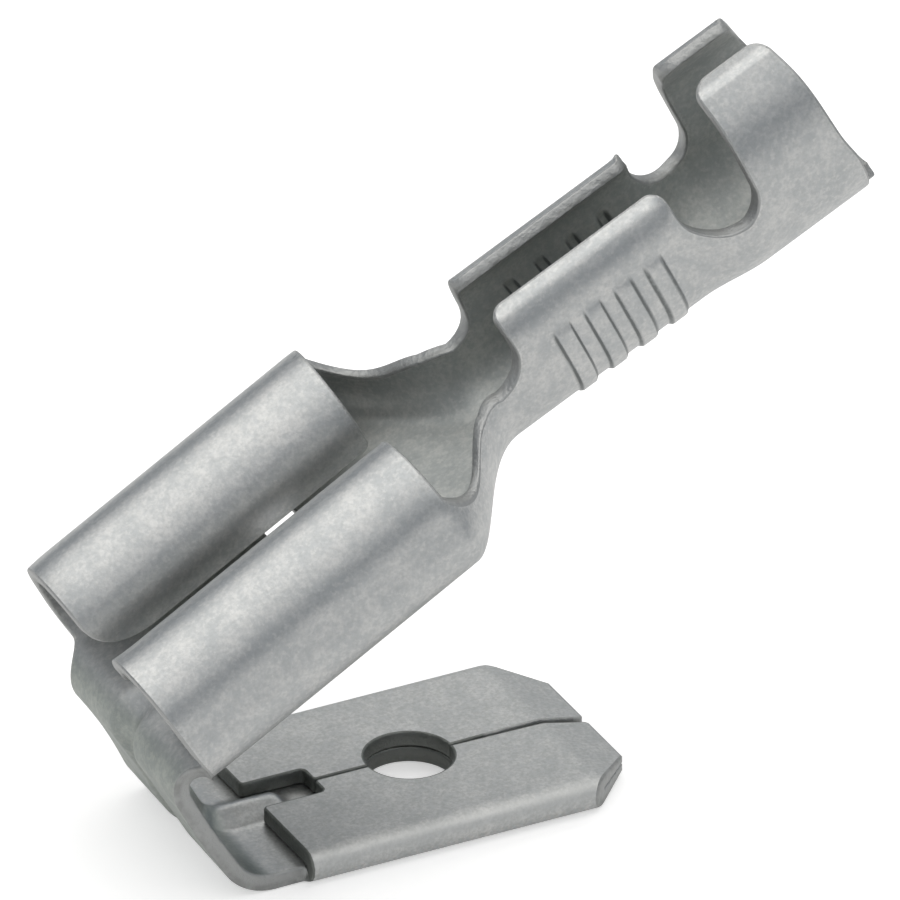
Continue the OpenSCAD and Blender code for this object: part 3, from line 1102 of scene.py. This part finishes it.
@dataclass(frozen=True)
class PressedBands:
    """Bands pressed across the wire crimp, made by a geometry node tree."""

    first: float = 1.17
    pitch: float = 0.86
    count: int = 4
    width: float = 0.46
    inner_width: float = 0.24
    soft: float = 0.11
    height: float = 0.08
    depth: float = 0.12
    reach: float = 3.15
    fade: float = 0.35

    def sizes(self) -> dict[str, float]:
        """Lists the tree's sizes.

        Returns:
            The value of each by the name of its input.
        """
        return {"First band": self.first, "Pitch": self.pitch,
                "Last band": self.count - 1.0, "Half width": self.width / 2,
                "Inner half width": self.inner_width / 2,
                "Softness": self.soft, "Height": self.height * MM,
                "Depth": self.depth * MM, "Reach": self.reach}

    def tree(self) -> NodeTree:
        """Builds the tree that moves the wall's points out at each band.

        Returns:
            The node tree.
        """
        tree = bpy.data.node_groups.new("pressed_bands", "GeometryNodeTree")
        face = tree.interface
        face.new_socket("Geometry", in_out="INPUT", socket_type="NodeSocketGeometry")
        for name, value in self.sizes().items():
            made = face.new_socket(name, in_out="INPUT",
                                   socket_type="NodeSocketFloat")
            made.default_value = value
        for name in ("Plate", "Sheared edge"):
            face.new_socket(name, in_out="INPUT", socket_type="NodeSocketMaterial")
        face.new_socket("Geometry", in_out="OUTPUT", socket_type="NodeSocketGeometry")
        new, link = tree.nodes.new, tree.links.new
        given, out = new("NodeGroupInput"), new("NodeGroupOutput")

        def named(name: str, kind: str = "FLOAT") -> NodeSocket:
            """Reads a fact stored on the mesh.

            Args:
                name: The fact's name.
                kind: The kind of its values.

            Returns:
                The values.
            """
            node = new("GeometryNodeInputNamedAttribute")
            node.data_type = kind
            node.inputs["Name"].default_value = name
            return node.outputs["Attribute"]

        def eased(value: NodeSocket, low: NodeSocket, high: NodeSocket) -> NodeSocket:
            """Eases a value from 0 to 1 between two limits.

            Args:
                value: The value.
                low: Where the result is 0.
                high: Where it is 1.

            Returns:
                The result.
            """
            node = new("ShaderNodeMapRange")
            node.interpolation_type = "SMOOTHSTEP"
            link(value, node.inputs["Value"])
            link(low, node.inputs["From Min"])
            link(high, node.inputs["From Max"])
            return node.outputs["Result"]

        pick, work = given.outputs, partial(maths, tree)
        deep = named("depth")
        ahead = work("SUBTRACT", named("along"), pick["First band"])
        turn = work("ROUND", work("DIVIDE", ahead, pick["Pitch"]))
        turn = work("MINIMUM", work("MAXIMUM", turn, 0.0), pick["Last band"])
        off = work("ABSOLUTE", work("SUBTRACT", ahead,
                                    work("MULTIPLY", turn, pick["Pitch"])))
        narrower = work("SUBTRACT", pick["Half width"], pick["Inner half width"])
        half = work("SUBTRACT", pick["Half width"], work("MULTIPLY", deep, narrower))
        inner = work("SUBTRACT", half, work("MULTIPLY", pick["Softness"], 0.5))
        across = eased(off, work("ADD", inner, pick["Softness"]), inner)
        up = eased(named("across"), pick["Reach"],
                   work("SUBTRACT", pick["Reach"], self.fade))
        lift = work("ADD", work("MULTIPLY", work("SUBTRACT", 1.0, deep),
                                pick["Height"]),
                    work("MULTIPLY", deep, pick["Depth"]))
        scale = new("ShaderNodeVectorMath")
        scale.operation = "SCALE"
        link(named("outward", "FLOAT_VECTOR"), scale.inputs[0])
        link(work("MULTIPLY", work("MULTIPLY", across, up), lift),
             scale.inputs["Scale"])
        move = new("GeometryNodeSetPosition")
        link(pick["Geometry"], move.inputs["Geometry"])
        link(scale.outputs["Vector"], move.inputs["Offset"])
        # the bands' slopes, which get dark creases that are partly painted shade
        border = work("MULTIPLY",
                      work("MULTIPLY", across, work("SUBTRACT", 1.0, across)), 4.0)
        store = new("GeometryNodeStoreNamedAttribute")
        store.data_type, store.domain = "FLOAT", "POINT"
        store.inputs["Name"].default_value = "band_border"
        link(move.outputs[0], store.inputs["Geometry"])
        link(work("MULTIPLY", border, up), store.inputs["Value"])
        real = new("GeometryNodeRealizeInstances")
        link(store.outputs[0], real.inputs[0])
        last = real
        for name in ("Plate", "Sheared edge"):
            dressed = new("GeometryNodeSetMaterial")
            link(last.outputs[0], dressed.inputs["Geometry"])
            link(pick[name], dressed.inputs["Material"])
            last = dressed
        link(named("sheared", "BOOLEAN"), last.inputs["Selection"])
        link(last.outputs[0], out.inputs[0])
        return tree

    def press(self, piece: Object, plate: Material, edge: Material) -> Object:
        """Presses the bands into a piece and gives it its finishes.

        Args:
            piece: The folded strip, with its named attributes.
            plate: Finish of the faces.
            edge: Finish of the sheared edges.

        Returns:
            A plain mesh object that takes the piece's place.
        """
        tree = self.tree()
        work = piece.modifiers.new("pressed bands", "NODES")
        work.node_group = tree
        ids = {item.name: item.identifier for item in tree.interface.items_tree
               if item.in_out == "INPUT"}
        given = {**self.sizes(), "Plate": plate, "Sheared edge": edge}
        for name, value in given.items():
            work[ids[name]] = value
        pressed = piece.evaluated_get(bpy.context.evaluated_depsgraph_get())
        mesh = bpy.data.meshes.new_from_object(pressed)
        name, old = piece.name, piece.data
        bpy.data.objects.remove(piece)
        bpy.data.meshes.remove(old)
        mesh.name = name
        return placed(name, mesh)


@dataclass(frozen=True)
class ShadeAndSheen:
    """Painted highlight on the edges and the tab's fold, a lighter tab, and painted shade
    on the web, inner faces and edges hidden in the fold.
    """

    # painted highlight along the sheared edges
    edge_width: float = 0.07
    # a lighter tone over the whole tab
    tab_lighter: float = 0.45
    # painted highlight along the tab's fold, where it turns towards the light
    fold_sheen: float = 0.5
    fold_turn: float = 128.0
    fold_width: float = 0.1
    soft: float = 0.5
    # painted shade on the web and on the inner faces
    web: float = 0.9
    inner: float = 0.4
    inner_from: float = 0.3
    inner_run: float = 1.5
    # painted shade on the sheared edges inside the tab's fold
    hole_shade: float = 0.85
    hollow_to: float = 2.0
    hollow_slack: float = 0.01

    def facts(self, strip: Strip, sq: Array, t: Array, far: Array) -> dict[str, Array]:
        """Works out the numbers that the finishes and the bands follow.

        Args:
            strip: The strip.
            sq: Blank places of the points.
            t: Their depths.
            far: Their distances from the blank's edges.

        Returns:
            The numbers by name, one for each point.
        """
        s, q, sheet, tab = sq[:, 0], np.abs(sq[:, 1]), strip.sheet, strip.tab
        deep = t / sheet.thickness
        fold = tab.flat_half(sheet) + sheet.middle * math.radians(self.fold_turn)
        on_fold = np.exp(-((q - fold) / self.fold_width) ** 2)
        # the tab a little lighter, with a painted highlight along its fold
        sheen_strength = (smooth((strip.tab_start - s) / self.soft)
                  * (self.tab_lighter + self.fold_sheen * on_fold))
        on_web = smooth((s - strip.tab_start) / self.soft) * smooth(-s / self.soft)
        inner = self.inner * deep * smooth((s - self.inner_from) / self.inner_run)
        folded = ((s < strip.tab_s(-tab.fold_reach) + self.hollow_slack)
                  & (s > strip.tab_s(self.hollow_to)))
        return {
            "along": s - strip.crimps.wire_from - strip.socket.length,
            "across": q, "depth": deep,
            # rim: painted highlight along the edges and the tab's fold, and a lighter tone
            # over the tab
            "rim": np.maximum(np.exp(-far / self.edge_width), sheen_strength),
            # painted shade on the web and the inner faces
            "painted_shade": np.maximum(self.web * on_web, inner),
            # painted shade on the edges hidden in the tab's fold
            "hole_shade": np.where(folded, self.hole_shade, 0.0),
        }


@dataclass(frozen=True)
class FormedStrip:
    """The terminal itself, folded from its blank."""

    strip: Strip = Strip()
    bands: PressedBands = PressedBands()
    shade_and_sheen: ShadeAndSheen = ShadeAndSheen()
    probe: float = 0.01

    def build(self) -> Object:
        """Folds the blank into a closed mesh.

        Returns:
            The piece, before its bands are pressed.
        """
        sheet = self.strip.sheet
        blank = Blank(self.strip)
        loops = blank.loops()
        flat = FlatMesh.cut(blank, loops, sheet.rolled)
        rows = sheet.edge_rows()
        n = len(flat.points)
        points = [flat.points, flat.points]
        depths = [np.zeros(n), np.full(n, sheet.thickness)]
        faces: list[list[int]] = [list(f[::-1]) for f in flat.triangles]
        faces += [[i + n for i in f] for f in flat.triangles]
        sheared = [False] * len(faces)
        start = 2 * n
        for loop, ring in zip(loops, flat.rings):
            previous = ring
            for row, (by, depth) in enumerate(rows[1:], 1):
                if row == len(rows) - 1:
                    current = ring + n
                else:
                    moved = blank.inset(loop, by)
                    points.append(moved)
                    depths.append(np.full(len(moved), depth))
                    current = np.arange(start, start + len(moved))
                    start += len(moved)
                ahead, ahead_up = np.roll(previous, -1), np.roll(current, -1)
                faces += np.stack([previous, ahead, ahead_up, current], 1).tolist()
                sheared += [True] * len(previous)
                previous = current
        sq, t = np.concatenate(points), np.concatenate(depths)
        far = distances(sq, np.concatenate(loops))
        return self._object(sq, t, far, faces, sheared)

    def _object(self, sq: Array, t: Array, far: Array, faces: list[list[int]],
                sheared: list[bool]) -> Object:
        """Makes the mesh object and stores the facts its finishes follow.

        Args:
            sq: Blank places of the points.
            t: Their depths.
            far: Their distances from the blank's edges.
            faces: Faces by point.
            sheared: Whether each face lies on a sheared edge.

        Returns:
            The object.
        """
        s, q = sq[:, 0], sq[:, 1]
        place = self.strip.fold(s, q, t)
        outward = place - self.strip.fold(s, q, t + self.probe)
        outward /= np.linalg.norm(outward, axis=1)[:, None]
        mesh = bpy.data.meshes.new("formed_strip")
        mesh.from_pydata((place * MM).tolist(), [], faces)
        for name, values in self.shade_and_sheen.facts(self.strip, sq, t, far).items():
            made = mesh.attributes.new(name, "FLOAT", "POINT")
            made.data.foreach_set("value", values.astype(np.float32))
        made = mesh.attributes.new("outward", "FLOAT_VECTOR", "POINT")
        made.data.foreach_set("vector", outward.ravel())
        made = mesh.attributes.new("sheared", "BOOLEAN", "FACE")
        made.data.foreach_set("value", sheared)
        mesh.polygons.foreach_set("use_smooth", [True] * len(mesh.polygons))
        self._crisp(mesh, np.array(sheared))
        mesh.update()
        return placed("formed_strip", mesh)

    @staticmethod
    def _crisp(mesh: Mesh, sheared: Array) -> None:
        """Keeps the faces level right up to the rounding of their edges.

        Args:
            mesh: The strip's mesh.
            sheared: Whether each face lies on a sheared edge.
        """
        corners = np.empty(len(mesh.loops), np.int32)
        sides = np.empty(len(mesh.polygons), np.int32)
        mesh.loops.foreach_get("edge_index", corners)
        mesh.polygons.foreach_get("loop_total", sides)
        touched = np.zeros((len(mesh.edges), 2), bool)
        touched[corners, np.repeat(sheared, sides).astype(int)] = True
        made = mesh.attributes.new("sharp_edge", "BOOLEAN", "EDGE")
        made.data.foreach_set("value", touched.all(1))

    def dress(self, plate: "TinPlate", edge: "ShearedEdge") -> Object:
        """Builds, presses and finishes the terminal.

        Args:
            plate: Finish of the faces.
            edge: Finish of the sheared edges.

        Returns:
            The finished piece.
        """
        grain = PlateGrain().group()
        piece = self.bands.press(self.build(), plate.material(grain),
                                 edge.material(grain))
        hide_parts("terminal")
        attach(piece, "root")
        count = sum(len(p.vertices) - 2 for p in piece.data.polygons)
        log.info("%s: %d triangles", piece.name, count)
        return piece


@dataclass(frozen=True)
class PlateGrain:
    """Mottle and fine grain of electroplated tin, shared by the finishes."""

    cloud_size: float = 0.8
    fleck_size: float = 0.14
    grain_scale: float = 13000.0
    roughness: float = 0.6

    def group(self) -> NodeTree:
        """Builds the shader node group.

        Returns:
            The group, which puts out masks from 0 to 1.
        """
        tree = bpy.data.node_groups.new("plate_grain", "ShaderNodeTree")
        face = tree.interface
        face.new_socket("Place", in_out="INPUT", socket_type="NodeSocketVector")
        for name, value in (("Cloud size", self.cloud_size),
                            ("Fleck size", self.fleck_size)):
            face.new_socket(name, in_out="INPUT", socket_type="NodeSocketFloat"
                            ).default_value = value
        given = tree.nodes.new("NodeGroupInput").outputs
        out = tree.nodes.new("NodeGroupOutput")
        cloud, fleck = (maths(tree, "DIVIDE", 1 / MM, given[name])
                        for name in ("Cloud size", "Fleck size"))
        for name, scale, detail in (("Cloud", cloud, 4.0), ("Fleck", fleck, 3.0),
                                    ("Grain", self.grain_scale, 2.0)):
            face.new_socket(name, in_out="OUTPUT", socket_type="NodeSocketFloat")
            node = tree.nodes.new("ShaderNodeTexNoise")
            node.inputs["Detail"].default_value = detail
            node.inputs["Roughness"].default_value = self.roughness
            tree.links.new(given["Place"], node.inputs["Vector"])
            if isinstance(scale, float):
                node.inputs["Scale"].default_value = scale
            else:
                tree.links.new(scale, node.inputs["Scale"])
            tree.links.new(node.outputs["Fac"], out.inputs[name])
        return tree


class FinishNodes:
    """Small kit for laying out one finish's nodes."""

    def __init__(self, name: str, grain: NodeTree) -> None:
        """Starts a material with the shared grain in it.

        Args:
            name: Name of the finish.
            grain: The shared group.
        """
        self.material = bpy.data.materials.new(name)
        self.material.use_nodes = True
        self.tree = self.material.node_tree
        self.shader = self.tree.nodes["Principled BSDF"]
        place = self.tree.nodes.new("ShaderNodeTexCoord")
        self.grain = self.tree.nodes.new("ShaderNodeGroup")
        self.grain.node_tree = grain
        self.tree.links.new(place.outputs["Object"], self.grain.inputs["Place"])

    def fact(self, name: str) -> NodeSocket:
        """Reads a number stored on the piece.

        Args:
            name: The number's name.

        Returns:
            Its values.
        """
        node = self.tree.nodes.new("ShaderNodeAttribute")
        node.attribute_name = name
        return node.outputs["Fac"]

    def ranged(self, value: NodeSocket, *ends: float) -> NodeSocket:
        """Maps a value from one range to another, as the function does."""
        return ranged(self.tree, value, *ends)

    def mixed(self, factor: NodeSocket, a: NodeSocket | tuple[float, ...],
              b: NodeSocket | tuple[float, ...], how: str = "MIX") -> NodeSocket:
        """Mixes two colours by a factor.

        Args:
            factor: 0 for the first colour and 1 for the second.
            a: First colour.
            b: Second colour.
            how: The way the second is laid over the first.

        Returns:
            The mixed colour.
        """
        node = self.tree.nodes.new("ShaderNodeMix")
        node.data_type, node.blend_type = "RGBA", how
        self.tree.links.new(factor, node.inputs[0])
        for socket, value in ((node.inputs[6], a), (node.inputs[7], b)):
            if isinstance(value, tuple):
                socket.default_value = (*value, 1.0)
            else:
                self.tree.links.new(value, socket)
        return node.outputs[2]

    def product(self, a: NodeSocket, b: NodeSocket) -> NodeSocket:
        """Multiplies two values."""
        return maths(self.tree, "MULTIPLY", a, b)

    def bumped(self, height: NodeSocket, distance: float, strength: float,
               normal: NodeSocket | None = None) -> NodeSocket:
        """Turns a height into a normal.

        Args:
            height: The height, from 0 to 1.
            distance: How far a height of 1 stands out, in metres.
            strength: How strongly it shows.
            normal: Normal to start from.

        Returns:
            The normal.
        """
        node = self.tree.nodes.new("ShaderNodeBump")
        node.inputs["Distance"].default_value = distance
        node.inputs["Strength"].default_value = strength
        self.tree.links.new(height, node.inputs["Height"])
        if normal is not None:
            self.tree.links.new(normal, node.inputs["Normal"])
        return node.outputs["Normal"]

    def finished(self, colour: NodeSocket, rough: NodeSocket, normal: NodeSocket
                 ) -> Material:
        """Feeds the shader.

        Args:
            colour: Its colour.
            rough: Its roughness.
            normal: Its normal.

        Returns:
            The material.
        """
        for name, value in (("Base Color", colour), ("Roughness", rough),
                            ("Normal", normal)):
            self.tree.links.new(value, self.shader.inputs[name])
        return self.material


@dataclass(frozen=True)
class TinPlate:
    """Satin tin plate over brass, mottled, with painted shade on the web and inner faces,
    a painted highlight along its edges and the tab's fold, and dark band creases that are
    partly painted shade.
    """

    pale: Triple = (0.595, 0.595, 0.585)
    dull: Triple = (0.445, 0.46, 0.465)
    # painted shade tint, multiplied in where the piece is sheltered from light
    shaded: Triple = (0.73, 0.765, 0.72)
    # painted highlight on the edges and the tab's fold, and a lighter tone over the tab
    painted_sheen: Triple = (0.72, 0.72, 0.70)
    speck: Triple = (0.34, 0.35, 0.34)
    # dark creases at the bands, partly painted shade of their slopes
    crease_and_shade: Triple = (0.14, 0.15, 0.15)
    metallic: float = 0.87
    clouds: Ends = (0.35, 0.65, 0.1, 0.9)
    flecks: Ends = (0.36, 0.64, 0.0, 1.0)
    dull_flecks: Ends = (0.0, 0.6, 0.65, 0.0)
    pale_flecks: Ends = (0.6, 1.0, 0.0, 0.65)
    specks: Ends = (0.35, 0.6, 0.25, 0.0)
    rubbed_specks: Ends = (0.0, 0.45, 1.0, 2.4)
    # how strongly the painted highlight shows
    sheen_strength: Ends = (0.25, 0.9, 0.0, 0.6)
    border_flecks: Ends = (0.0, 0.6, 0.7, 1.0)
    border: Ends = (0.05, 0.55, 0.0, 0.9)
    satin: Ends = (0.3, 0.7, 0.44, 0.38)
    inner_rougher: Ends = (0.5, 1.0, 1.0, 1.4)
    fleck_height: float = 0.00001
    grain_height: float = 0.000002

    def material(self, grain: NodeTree) -> Material:
        """Lays out the finish.

        Args:
            grain: The shared mottle and grain.

        Returns:
            The material.
        """
        n = FinishNodes("tin_plate", grain)
        n.shader.inputs["Metallic"].default_value = self.metallic
        clouds, flecks, fine = (n.grain.outputs[k] for k in ("Cloud", "Fleck", "Grain"))
        fleck, rim = n.ranged(flecks, *self.flecks), n.fact("rim")
        colour = n.mixed(n.ranged(clouds, *self.clouds), self.dull, self.pale)
        specks = n.product(n.ranged(fine, *self.specks),
                           n.ranged(rim, *self.rubbed_specks))
        border = n.product(n.fact("band_border"),
                           n.ranged(fleck, *self.border_flecks))
        for factor, laid in ((n.ranged(fleck, *self.dull_flecks), self.dull),
                             (n.ranged(fleck, *self.pale_flecks), self.pale),
                             (specks, self.speck)):
            colour = n.mixed(factor, colour, laid)
        # painted shade multiplied into the colour
        colour = n.mixed(n.fact("painted_shade"), colour, self.shaded, "MULTIPLY")
        # painted highlight on edges and fold, and a lighter tone over the tab
        colour = n.mixed(n.ranged(rim, *self.sheen_strength), colour, self.painted_sheen)
        # band creases, partly painted shade
        colour = n.mixed(n.ranged(border, *self.border), colour, self.crease_and_shade)
        rough = n.product(n.ranged(clouds, *self.satin),
                          n.ranged(n.fact("depth"), *self.inner_rougher))
        normal = n.bumped(flecks, self.fleck_height, 0.5)
        normal = n.bumped(fine, self.grain_height, 0.6, normal)
        return n.finished(colour, rough, normal)


@dataclass(frozen=True)
class ShearedEdge:
    """Cut edge of the strip: half burnished, half torn, with painted shade where it lies
    hidden in the tab's fold.
    """

    burnished: Triple = (0.42, 0.425, 0.42)
    torn: Triple = (0.36, 0.365, 0.355)
    # painted shade inside the tab's fold
    hole_shade_colour: Triple = (0.20, 0.21, 0.195)
    cloud_size: float = 0.35
    deep: Ends = (0.45, 0.7, 0.0, 1.0)
    tears: Ends = (0.35, 0.6, 0.0, 1.0)
    rough: Ends = (0.0, 1.0, 0.55, 0.65)
    fleck_height: float = 0.00005

    def material(self, grain: NodeTree) -> Material:
        """Lays out the finish.

        Args:
            grain: The shared mottle and grain.

        Returns:
            The material.
        """
        n = FinishNodes("sheared_edge", grain)
        n.grain.inputs["Cloud size"].default_value = self.cloud_size
        n.shader.inputs["Metallic"].default_value = 1.0
        torn = n.product(n.ranged(n.fact("depth"), *self.deep),
                         n.ranged(n.grain.outputs["Cloud"], *self.tears))
        colour = n.mixed(torn, self.burnished, self.torn)
        # painted shade on edges hidden in the tab's fold
        colour = n.mixed(n.fact("hole_shade"), colour, self.hole_shade_colour)
        normal = n.bumped(n.grain.outputs["Fleck"], self.fleck_height, 0.8)
        return n.finished(colour, n.ranged(torn, *self.rough), normal)


@dataclass(frozen=True)
class Studio:
    """White table, soft lamps, grey flag and the camera."""

    azimuth: float = -26.945
    elevation: float = 30.057
    centre: Triple = (1.909, 1.682, 7.509)
    view_width: float = 20.609
    lens: float = 1500.0
    sensor: float = 36.0
    clip: tuple[float, float] = (0.1, 50.0)
    table_half: float = 400.0
    table_z: float = -0.02
    table_colour: Triple = (0.8, 0.8, 0.8)
    table_glow: tuple[float, float] = (0.12, 0.42)
    world_glow: tuple[float, float] = (0.83, 1.0)
    flag_colour: Triple = (0.095, 0.13, 0.17)
    flags: int = 24
    flag_far: float = 150.0
    flag_z: tuple[float, float] = (16.0, 88.0)
    lamp_aim: Triple = (2.0, 0.0, 6.0)
    lamp_place: Triple = (0.0, 28.0, 150.0)
    lamp_size: float = 200.0
    lamp_power: float = 0.087
    lamp_colour: Triple = (1.0, 0.982, 0.94)

    def aim(self) -> Matrix:
        """Turns the camera's axes to the viewing angle.

        Returns:
            The rotation, as a 3 by 3 matrix.
        """
        a, e = math.radians(self.azimuth), math.radians(self.elevation)
        back = Vector((math.sin(a) * math.cos(e), -math.cos(a) * math.cos(e),
                       math.sin(e)))
        right = Vector((math.cos(a), math.sin(a), 0.0))
        up = back.cross(right)
        return Matrix((right, up, back)).transposed()

    def camera(self) -> None:
        """Places the camera far off with a long lens."""
        data = bpy.data.cameras.new("camera")
        data.sensor_width, data.lens = self.sensor, self.lens
        far = self.view_width * self.lens / self.sensor
        data.clip_start, data.clip_end = self.clip
        camera = placed("camera", data)
        turn = self.aim()
        camera.matrix_world = Matrix.Translation(
            (Vector(self.centre) + turn.col[2] * far) * MM) @ turn.to_4x4()
        bpy.context.scene.camera = camera

    def lamp(self) -> None:
        """Hangs one soft square lamp aimed at the terminal."""
        data = bpy.data.lights.new("overhead", "AREA")
        data.size, data.energy = self.lamp_size * MM, self.lamp_power
        data.color = self.lamp_colour
        lamp, spot = placed("overhead", data), Vector(self.lamp_place)
        lamp.matrix_world = Matrix.Translation(
            (Vector(self.lamp_aim) + spot) * MM) @ spot.to_track_quat(
                "Z", "Y").to_matrix().to_4x4()

    @staticmethod
    def matt(name: str, colour: Triple) -> tuple[Material, Node]:
        """Makes a plain matt finish for the stage.

        Args:
            name: Its name.
            colour: Its colour.

        Returns:
            The material and its shader.
        """
        material = bpy.data.materials.new(name)
        material.use_nodes = True
        shader = material.node_tree.nodes["Principled BSDF"]
        shader.inputs["Base Color"].default_value = (*colour, 1)
        shader.inputs["Roughness"].default_value = 1.0
        shader.inputs["Specular IOR Level"].default_value = 0.0
        return material, shader

    @staticmethod
    def card(name: str, corners: list[Triple], material: Material) -> Object:
        """Makes a flat stage card.

        Args:
            name: Its name.
            corners: Its corners, in mm.
            material: Its finish.

        Returns:
            The card.
        """
        mesh = bpy.data.meshes.new(name)
        mesh.from_pydata([[c * MM for c in p] for p in corners], [],
                         [list(range(len(corners)))])
        mesh.materials.append(material)
        card = placed(name, mesh)
        card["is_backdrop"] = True
        return card

    def table(self) -> None:
        """Lays the pale table that keeps the terminal's soft shadow."""
        material, shader = self.matt("table", self.table_colour)
        tree, half, z = material.node_tree, self.table_half, self.table_z
        shader.inputs["Emission Color"].default_value = (1, 1, 1, 1)
        path = tree.nodes.new("ShaderNodeLightPath")
        bright = ranged(tree, path.outputs["Is Camera Ray"], 0, 1, *self.table_glow)
        tree.links.new(bright, shader.inputs["Emission Strength"])
        self.card("table", [(-half, -half, z), (half, -half, z), (half, half, z),
                            (-half, half, z)], material)

    @staticmethod
    def seen(tree: NodeTree) -> NodeSocket:
        """Tells rays that show the background from those that light things.

        Args:
            tree: The world's tree.

        Returns:
            1 for camera, glossy and transmission rays.
        """
        path = tree.nodes.new("ShaderNodeLightPath").outputs
        total = path["Is Camera Ray"]
        for name in ("Is Glossy Ray", "Is Transmission Ray"):
            total = maths(tree, "MAXIMUM", total, path[name])
        return total

    def world(self) -> None:
        """Gives the scene its white background and a plain fill."""
        world = bpy.data.worlds.new("white")
        world.use_nodes = True
        tree = world.node_tree
        back = tree.nodes["Background"]
        back.inputs["Color"].default_value = (1, 1, 1, 1)
        strength = ranged(tree, self.seen(tree), 0, 1, *self.world_glow)
        tree.links.new(strength, back.inputs["Strength"])
        bpy.context.scene.world = world

    def flag(self) -> None:
        """Hangs the grey flags that give the tin its darker side."""
        material, _ = self.matt("grey_flag", self.flag_colour)
        low, high = self.flag_z
        for i in range(self.flags):
            a0, a1 = (math.radians(360 * (i + k) / self.flags) for k in (0, 1))
            ring = [(math.sin(a) * self.flag_far, -math.cos(a) * self.flag_far, z)
                    for a, z in ((a0, low), (a1, low), (a1, high), (a0, high))]
            card = self.card(f"flag_{i}", ring, material)
            card.visible_camera = card.visible_shadow = False
            card.visible_diffuse = False

    def build(self) -> None:
        """Sets up the whole stage."""
        bpy.context.scene.view_settings.view_transform = "Standard"
        self.camera()
        self.table()
        self.world()
        self.flag()
        self.lamp()
        log.info("stage: camera at %.1f, %.1f", self.azimuth, self.elevation)


def main() -> None:
    """Builds the terminal and its stage, and notes both boxes."""
    FormedStrip().dress(TinPlate(), ShearedEdge())
    Studio().build()
    shown = [list(corner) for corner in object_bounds()]
    for name, low, high, cad_low, cad_high in zip("xyz", *shown, *CAD_BOX):
        log.info("%s: %.3f to %.3f mm, solids %.3f to %.3f mm", name, low / MM,
                 high / MM, cad_low / MM, cad_high / MM)


if __name__ == "__main__":
    main()
